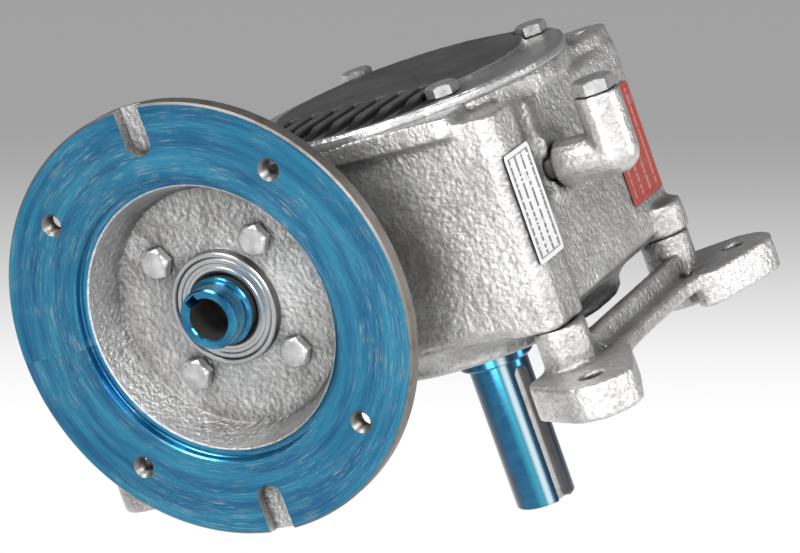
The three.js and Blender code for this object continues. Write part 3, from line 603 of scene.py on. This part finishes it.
def motor_flange():
    """Turned flange. Its outline's rows are (radius, depth behind the face, material)."""
    rows = [
        (65.6, 0, FACE), (99.0, 0, EDGE), (99.9, 0.9, EDGE), (99.9, 7.0, EDGE), (99.2, 7.7, CAST),
        (77.5, 8.9, CAST), (76.2, 9.2, CAST), (75.4, 10.0, CAST), (62.3, 30.4, CAST),
        (61.6, 31, CAST), (20, 31, CAST), (20, 26.5, TURNED), (23.8, 26.5, TURNED),
        (23.8, 17.5, TURNED), (24.2, 17.1, TURNED), (25.5, 17.1, TURNED), (26, 17.6, CAST),
        (26, 20.8, CAST), (26.4, 21.6, CAST), (27.4, 22, CAST), (53.4, 22, CAST),
        (54.8, 21.7, CAST), (55.9, 20.6, CAST), (60.5, 6.0, CAST), (60.9, 4.9, CAST),
        (61.6, 4.5, FACE), (64.6, 4.5, FACE), (65, 4.1, FACE), (65, 0.6, FACE),
    ]
    bm = lathe([(r, FLANGE_Y + d, m) for r, d, m in rows], worm_point, 256)
    piece = link("motor_flange_turned", to_mesh(bm), [BLUE_FACE, DISH, RIM, TURNED_Y, BORE])
    tools = []
    for dx, dz in diagonal(FLANGE_HOLES_R):
        at = about(WORM_X + dx, FLANGE_Y, WORM_Z + dz, "y")
        tools.append(thread_cutter(at, 4.35, 1.5, 14, THREAD))
    for dx, dz in diagonal(FLANGE_BOLT_R):
        drill = [(0, 18, CAST), (4.4, 18, CAST), (4.4, 34, CAST), (0, 34, CAST)]
        at = about(WORM_X + dx, FLANGE_Y, WORM_Z + dz, "y")
        tools.append(lathe(drill, at, 32, closed=False))
    for side in (-1, 1):
        tools.append(rim_slot(side))
    combine(piece, tools, "DIFFERENCE")
    ease_edges(piece, 0.35, 38)
    smooth(piece, 32)
    place(piece, "gearcase", "blue_flange", "motor_flange")


def rim_slot(side):
    """Keeper slot that opens through the rim and ends in a half circle."""
    half, inner, depth, sides = 6.0, 84.0, 5.0, 24
    outline = [(half, FLANGE_R + 4), (-half, FLANGE_R + 4)]
    for i in range(sides + 1):
        a = math.pi + math.pi * i / sides
        outline.append((half * math.cos(a), inner + half * math.sin(a)))
    bm = bmesh.new()
    rings = []
    for y, grow in ((FLANGE_Y - 1, 0.5), (FLANGE_Y + 0.4, 0.3), (FLANGE_Y + depth, -0.4)):
        ring = []
        for u, v in outline:
            scale = (half + grow) / half
            w = inner + (v - inner) * scale if v < inner else v
            ring.append(bm.verts.new(Vector((WORM_X + u * scale, y, WORM_Z + side * w)) * MM))
        rings.append(ring)
    for a, b in zip(rings, rings[1:]):
        for i in range(len(outline)):
            j = (i + 1) % len(outline)
            bm.faces.new((a[i], a[j], b[j], b[i]))
    bm.faces.new(rings[0])
    bm.faces.new(rings[-1])
    for face in bm.faces:
        face.material_index = CAST
    bmesh.ops.recalc_face_normals(bm, faces=bm.faces)
    return bm


motor_flange()


# ------------------------------------------------------------------ screws
def hexagon(at, flats, z0, z1, sides=96):
    """Chamfered hexagon head between z0 and z1 along its axis; z1 is its free end."""
    inscribed = flats / 2
    bm = bmesh.new()
    up = 1 if z1 > z0 else -1
    height = abs(z1 - z0)
    rings = []
    for level in ("seat", "base", "shoulder", "crown", "centre"):
        ring = []
        for i in range(sides):
            a = 2 * math.pi * i / sides
            off = (a + math.pi / 6) % (math.pi / 3) - math.pi / 6
            corner = inscribed / math.cos(off)
            r, h = {
                "seat": (inscribed * 0.94, 0.0),
                "base": (corner - 0.12, 0.35),
                "shoulder": (corner, height - 0.25 - (corner - inscribed * 0.93) * 0.62),
                "crown": (inscribed * 0.93, height - 0.1),
                "centre": (inscribed * 0.80, height),
            }[level]
            ring.append(bm.verts.new(Vector(at(r, a, z0 + up * h)) * MM))
        rings.append(ring)
    for a, b in zip(rings, rings[1:]):
        for i in range(sides):
            j = (i + 1) % sides
            bm.faces.new((a[i], a[j], b[j], b[i]))
    bm.faces.new(rings[0])
    bm.faces.new(rings[-1])
    bmesh.ops.recalc_face_normals(bm, faces=bm.faces)
    return bm


M6 = (10, 4.0, 2.9)
M8 = (13, 5.4, 3.9)
M10 = (16, 5.4, 4.9)


def screw(node, at, size, seat, up, length):
    """Screw of a size (flats, head height, shank radius). Its head stands on seat and points
    along the axis where up is 1, against it where up is -1."""
    flats, head, shank_r = size
    hexed = hexagon(at, flats, seat, seat + up * head)
    piece = link(f"{node}_hex", to_mesh(hexed), [BOLT])
    rows = [(0, seat + up), (shank_r, seat + up), (shank_r, seat - up * (length - 1)),
            (shank_r - 0.8, seat - up * length), (0, seat - up * length)]
    combine(piece, [lathe(rows, at, 32, closed=False)], "UNION")
    smooth(piece, 30)
    place(piece, "gearcase", "painted_bolts", node)


def screws():
    for i, (dx, dz) in enumerate(diagonal(FLANGE_BOLT_R), 1):
        at = about(WORM_X + dx, FLANGE_Y, WORM_Z + dz, "y")
        screw(f"flange_bolt_{i}", at, M8, DISH_DEPTH - GAP, -1, 24)
    for i, (dx, dz) in enumerate(diagonal(END_CAP_BOLT_R), 1):
        at = about(WORM_X + dx, 0, WORM_Z + dz, "y")
        screw(f"end_cap_bolt_{i}", at, M6, END_CAP_Y + GAP, 1, 18)
    for i, (x, y) in enumerate(diagonal(COVER_BOLT_R), 1):
        screw(f"cover_bolt_{i}", about(x, y, 0, "z"), M8, COVER_FLANGE_Z + GAP, 1, 18)
    for node in ("foot_bolt_1", "foot_bolt_2", "foot_bolt_3", "foot_bolt_4"):
        x, y, _ = cad_box(node)[2]
        screw(node, about(x, y, 0, "z"), M10, FOOT_BOLT_SEAT, -1, 35)


screws()


# ------------------------------------------------------------------ worm shaft
def worm_thread(length=56.0, steps=64):
    """One trapezium thread, right hand about +Y, swept along its helix."""
    pitch_r = 16.7
    pressure_angle = math.radians(20)
    tip, root = pitch_r + MODULE, pitch_r - 1.2 * MODULE

    def half(r):
        return LEAD / 4 - 0.25 - (r - pitch_r) * math.tan(pressure_angle)

    sunk = root - 1.5
    section = [(sunk, half(root)), (root, half(root)), (tip - 0.3, half(tip)),
               (tip, half(tip) - 0.3), (tip, 0.3 - half(tip)), (tip - 0.3, -half(tip)),
               (root, -half(root)), (sunk, -half(root))]
    count = round(steps * length / LEAD)
    bm = bmesh.new()
    rings = []
    for i in range(count + 1):
        y = length * (i / count - 0.5)
        angle = math.pi / 2 + 2 * math.pi * y / LEAD
        rings.append([bm.verts.new(Vector(worm_point(r, angle, y + off)) * MM)
                      for r, off in section])
    for a, b in zip(rings, rings[1:]):
        for k in range(len(section)):
            m = (k + 1) % len(section)
            bm.faces.new((a[k], a[m], b[m], b[k]))
    bm.faces.new(rings[0])
    bm.faces.new(rings[-1])
    bmesh.ops.recalc_face_normals(bm, faces=bm.faces)
    return bm


def worm_shaft():
    """Hollow at the motor's end, with the worm in the middle and a journal at each end."""
    blue, bore, bare = range(3)
    rows = [
        (0, -62, bore), (9.5, -62, bore), (9.5, -108.2, blue), (10.1, -108.9, blue),
        (13.2, -109, blue), (14, -108.3, blue), (14, -98.6, blue), (15.2, -98.4, blue),
        (15.8, -97.8, blue), (15.8, -96.6, blue), (15.1, -95.4, blue), (15, -95, bare),
        (15, -61, bare), (19, -60.7, bare), (19, -48, bare), (12.7, -36, bare),
        (12.7, 36, bare), (16, 44, bare), (16, 51.7, bare), (12.5, 52, bare),
        (12.5, 70.5, bare), (11.3, 70.5, bare), (11.3, 72, bare), (12.5, 72, bare),
        (12.5, 73, bare), (12, 73.5, bare), (0, 73.5, bare),
    ]
    bm = lathe(rows, worm_point, 96, closed=False)
    piece = link("worm_shaft_turned", to_mesh(bm), [BLUE_WORM, BORE, TURNED_Y])
    combine(piece, [worm_thread()], "UNION")
    centre = Matrix.Translation(Vector((WORM_X, 0, WORM_Z)) * MM)
    turn = centre @ Matrix.Rotation(math.radians(WORM_KEYWAY_TURN), 4, "Y")
    keyway = block(-3, 3, -110, -60, 6.3, 12.3, turn)
    combine(piece, [keyway], "DIFFERENCE")
    smooth(piece, 30)
    place(piece, "worm", "blue_steel", "worm_shaft")


worm_shaft()


# ------------------------------------------------------------------ output shaft
def output_shaft():
    """Keyed end, shoulder, two journals, a collar and the wheel's seat with its own keyway."""
    blue, bare, milled = range(3)
    rows = [
        (0, 0, blue), (12.7, 0, blue), (13.2, 0.15, blue), (13.85, 0.8, blue), (14, 1.3, blue),
        (14, SHOULDER_Z, blue), (16.6, SHOULDER_Z, blue), (JOURNAL_R, SHOULDER_Z + 1, blue),
        (JOURNAL_R, 79, bare), (JOURNAL_R, 113, bare), (23, 113.3, bare), (23, 122.3, bare),
        (20, 122.6, bare), (20, 164.6, bare), (JOURNAL_R, 164.8, bare),
        (JOURNAL_R, 194.5, bare), (16.5, 195.5, bare), (0, 195.5, bare),
    ]
    bm = lathe(rows, shaft_point, 128, closed=False)
    piece = link("output_shaft_turned", to_mesh(bm), [BLUE_SHAFT, TURNED_Z, KEYWAY])
    floor, half_width, length = 10, 4, 62
    turn = Matrix.Rotation(math.radians(KEYWAY_TURN), 4, "Z")
    end_rows = [(0, floor, milled), (half_width, floor, milled), (half_width, 16, milled),
                (0, 16, milled)]

    def across_shaft(r, angle, depth):
        return (depth, r * math.sin(angle), length + r * math.cos(angle))

    round_end = lathe(end_rows, across_shaft, 48, closed=False)
    round_end.transform(turn)
    keyway = block(floor, 16, -half_width, half_width, -2, length, turn, milled)
    wheel_keyway = block(14.7, 23.6, -6.3, 6.3, 125.7, 161.3, index=bare)
    combine(piece, [keyway, round_end, wheel_keyway], "DIFFERENCE")
    ease_edges(piece, 0.25, 40)
    smooth(piece, 32)
    place(piece, "wheel", "blue_steel", "output_shaft")


output_shaft()


# ------------------------------------------------------------------ seals
def oil_seal(node, place_at, bore, outer, a0, a1, steel):
    """Steel-cased lip seal: pressed case with two rings, and a rubber lip round the shaft."""
    case, lip = range(2)
    mid = (a0 + a1) / 2
    rows = [
        (outer, a0 + 0.6, case), (outer - 0.6, a0, case), (outer - 2.2, a0, case),
        (outer - 2.8, a0 + 0.5, case), (outer - 4.2, a0 + 0.5, case),
        (outer - 4.6, a0 + 0.1, case), (bore + 2.6, a0 + 0.1, lip), (bore + 2.0, a0 + 0.2, lip),
        (bore + 0.4, mid - 1.4, lip), (bore + 0.3, mid - 1.0, lip), (bore + 2.4, mid, lip),
        (outer - 2, mid, case), (outer - 2, a1, case), (outer, a1, case),
    ]
    piece = link(f"{node}_lip", to_mesh(lathe(rows, place_at, 96)), [steel, RUBBER])
    smooth(piece, 35)
    place(piece, "gearcase", "seal_rubber", node)


oil_seal("input_oil_seal", worm_point, 15, 23.5, -94.4, -86.4, TURNED_Y)
oil_seal("output_oil_seal", shaft_point, JOURNAL_R, 28, 80, 90, TURNED_Z)


# ------------------------------------------------------------------ plugs
def breather_plug():
    """Hexagon plug screwed down into the top of the elbow."""
    x, y, _ = cad_box("breather_plug")[2]
    at = about(x, y, 0, "z")
    piece = link("breather_plug_hex", to_mesh(hexagon(at, 17, 182.8, 189.5)), [BOLT])
    rows = [(0, 170.5), (6.2, 170.5), (6.2, 184), (0, 184)]
    combine(piece, [lathe(rows, at, 48, closed=False)], "UNION")
    smooth(piece, 30)
    place(piece, "gearcase", "painted_bolts", "breather_plug")


def drain_plug():
    """Hexagon plug with a washer, low on the back wall."""
    x, _, z = cad_box("drain_plug")[2]
    at = about(x, 0, z, "y")
    piece = link("drain_plug_hex", to_mesh(hexagon(at, 17, 73.2, 80.3)), [BOLT])
    rows = [(0, 64), (8, 64), (8, 72.3), (10.6, 72.3), (11, 72.7), (11, 73.9), (10.6, 74.3),
            (0, 74.3)]
    combine(piece, [lathe(rows, at, 64, closed=False)], "UNION")
    smooth(piece, 30)
    place(piece, "gearcase", "painted_bolts", "drain_plug")


breather_plug()
drain_plug()


# ------------------------------------------------------------------ labels
FRONT_DEPTH = 0.34
BACK_DEPTH = 0.04


def label(node, material, slot):
    """Thin sheet with round corners that faces +X and rises a little towards its edges."""
    (x, y0, z0), (_, y1, z1), _ = cad_box(node)
    y_mid, z_mid = (y0 + y1) / 2, (z0 + z1) / 2
    corner, curl, curl_width = 1.6, 0.18, 6
    across, up = 18, 28

    def point(i, j, depth):
        y = y0 + (y1 - y0) * i / across
        z = z0 + (z1 - z0) * j / up
        dy = max(0, abs(y - y_mid) - ((y1 - y0) / 2 - corner))
        dz = max(0, abs(z - z_mid) - ((z1 - z0) / 2 - corner))
        over = math.hypot(dy, dz)
        if over > corner and dy > 0 and dz > 0:
            y -= math.copysign(dy * (1 - corner / over), y - y_mid)
            z -= math.copysign(dz * (1 - corner / over), z - z_mid)
        edge = min(y - y0, y1 - y, z - z0, z1 - z)
        ripple = 0.02 * math.sin(0.4 * z + 0.3 * y)
        lift = ripple - curl * min(1, max(0, edge) / curl_width)
        return (x + depth + lift * depth / FRONT_DEPTH, y, z)

    bm = bmesh.new()
    sheets = []
    for depth in (FRONT_DEPTH, BACK_DEPTH):
        sheets.append([[bm.verts.new(Vector(point(i, j, depth)) * MM) for i in range(across + 1)]
                       for j in range(up + 1)])
    for rows in sheets:
        for a, b in zip(rows, rows[1:]):
            for i in range(across):
                bm.faces.new((a[i], a[i + 1], b[i + 1], b[i]))
    border = ([(0, i) for i in range(across)] + [(j, across) for j in range(up)]
              + [(up, across - i) for i in range(across)] + [(up - j, 0) for j in range(up)])
    front, back = sheets
    for (j0, i0), (j1, i1) in zip(border, border[1:] + border[:1]):
        bm.faces.new((front[j0][i0], front[j1][i1], back[j1][i1], back[j0][i0]))
    bmesh.ops.recalc_face_normals(bm, faces=bm.faces)
    piece = link(f"{node}_sheet", to_mesh(bm), [material])
    smooth(piece, 40)
    place(piece, "gearcase", slot, node)


WHITE_PRINT = printed("white label print", (0.76, 0.76, 0.76, 1), (0.10, 0.10, 0.11, 1),
                      (0.22, 0.22, 0.24, 1), "white_label", 4, 0.4)
RED_PRINT = printed("red label print", (0.34, 0.062, 0.05, 1), (0.50, 0.20, 0.17, 1),
                    (0.42, 0.025, 0.018, 1), "red_label", 4, 0.3)
label("white_label", WHITE_PRINT, "white_paper")
label("red_label", RED_PRINT, "red_film")


# ------------------------------------------------------------------ inner pieces
def restyle(node, material):
    """A CAD piece that keeps its shape and takes this material."""
    NODES[node].data.materials.clear()
    NODES[node].data.materials.append(material)


BEARINGS = {"front": TURNED_Y, "rear": TURNED_Y, "lower": TURNED_Z, "upper": TURNED_Z}
for where, metal in BEARINGS.items():
    for part in ("inner_race", "outer_race", "balls_and_cage"):
        restyle(f"{where}_bearing_{part}", metal)
restyle("worm_circlip", TURNED_Y)
restyle("worm_wheel_rim", BRONZE)
for steel_piece in ("wheel_hub", "wheel_key", "wheel_spacer"):
    restyle(steel_piece, TURNED_Z)


def cover_gasket():
    """Gasket with the paint that has run into the seam round it."""
    low, high, _ = cad_box("cover_gasket")
    below, above = low[2], high[2]
    rows = [
        (58, below), (74, below), (76.6, 196.9), (77.1, 197.3), (77.25, 198.5), (77.2, 200.2),
        (76.9, 201.2), (76.4, 201.4), (74, above), (58, above),
    ]
    piece = link("cover_gasket_ring", to_mesh(lathe(rows, sides=192)), [GASKET])
    smooth(piece, 70)
    place(piece, "gearcase", "gasket_paper", "cover_gasket")


cover_gasket()


# ------------------------------------------------------------------ studio and camera
LIT_POINT = (0, 0, 0.13)
CAMERA_AT = (0.78824, -1.34019, 0.43021)
CAMERA_RIGHT = (0.8363, 0.4350, -0.3339)
CAMERA_UP = (0.1943, 0.3343, 0.9222)
CAMERA_BACK = (0.5127, -0.8361, 0.1950)


def softbox(name, where, size, watts):
    """Rectangular light at where (metres) that faces the gearbox."""
    light = bpy.data.lights.new(name, "AREA")
    light.shape = "RECTANGLE"
    light.size, light.size_y = size
    light.energy = watts
    lamp = bpy.data.objects.new(name, light)
    bpy.context.scene.collection.objects.link(lamp)
    lamp.location = where
    aim = Vector(LIT_POINT) - Vector(where)
    lamp.rotation_euler = aim.to_track_quat("-Z", "Y").to_euler()


def studio_world():
    """Studio all round: a white table below, a sweep that turns from white to grey just over
    it, and a dim ceiling and dim sides."""
    world = bpy.data.worlds.new("studio")
    world.use_nodes = True
    tree = world.node_tree
    where = tree.nodes.new("ShaderNodeTexCoord").outputs["Generated"]

    def along(direction):
        dot = tree.nodes.new("ShaderNodeVectorMath")
        dot.operation = "DOT_PRODUCT"
        tree.links.new(where, dot.inputs[0])
        dot.inputs[1].default_value = direction
        return dot.outputs["Value"]

    def tones(value, stops):
        spread = tree.nodes.new("ShaderNodeMapRange")
        spread.inputs["From Min"].default_value = -1
        spread.inputs["From Max"].default_value = 1
        tree.links.new(value, spread.inputs["Value"])
        ramp = tree.nodes.new("ShaderNodeValToRGB")
        ramp.color_ramp.elements.remove(ramp.color_ramp.elements[1])
        for i, (at, tone) in enumerate(stops):
            share = (at + 1) / 2
            stop = ramp.color_ramp.elements[0] if i == 0 else ramp.color_ramp.elements.new(share)
            stop.position = share
            stop.color = (tone, tone, tone * 1.005, 1)
        tree.links.new(spread.outputs[0], ramp.inputs[0])
        return ramp.outputs[0]

    height = tones(along(CAMERA_UP), [
        (-1.0, 0.7), (-0.5, 1.05), (-0.036, 1.0), (-0.021, 0.905), (0.005, 0.618),
        (0.028, 0.42), (0.042, 0.362), (0.1, 0.355), (0.25, 0.33), (0.45, 0.10), (1.0, 0.16)])
    side = tones(along(CAMERA_RIGHT), [
        (-1.0, 0.05), (-0.90, 0.12), (-0.78, 0.9), (-0.6, 1.0), (0.7, 1.0), (0.9, 0.8),
        (1.0, 0.5)])
    both = tree.nodes.new("ShaderNodeMix")
    both.data_type = "RGBA"
    both.blend_type = "MULTIPLY"
    both.inputs[0].default_value = 1.0
    tree.links.new(height, both.inputs[6])
    tree.links.new(side, both.inputs[7])
    tree.links.new(both.outputs[2], tree.nodes["Background"].inputs["Color"])
    bpy.context.scene.world = world


def lights():
    softbox("key", (1.5, -1.0, 0.9), (0.5, 0.9), 26)
    softbox("top", (-0.2, -1.2, 1.7), (0.7, 0.7), 30)
    softbox("side", (1.7, 0.5, -0.2), (0.5, 0.7), 8)
    softbox("front", (0.1, -1.9, 0.0), (0.8, 0.8), 10)


def camera():
    """Camera at CAMERA_AT, turned to CAMERA_RIGHT, CAMERA_UP and CAMERA_BACK."""
    data = bpy.data.cameras.new("camera")
    data.lens = 157.5
    data.sensor_width = 36
    data.clip_start = 0.05
    data.clip_end = 60
    eye = bpy.data.objects.new("camera", data)
    bpy.context.scene.collection.objects.link(eye)
    axes = [Vector(axis) for axis in (CAMERA_RIGHT, CAMERA_UP, CAMERA_BACK)]
    turn = Matrix(axes).transposed().to_4x4()
    eye.matrix_world = Matrix.Translation(CAMERA_AT) @ turn
    bpy.context.scene.camera = eye


studio_world()
lights()
camera()
bpy.context.scene.view_settings.view_transform = "Standard"
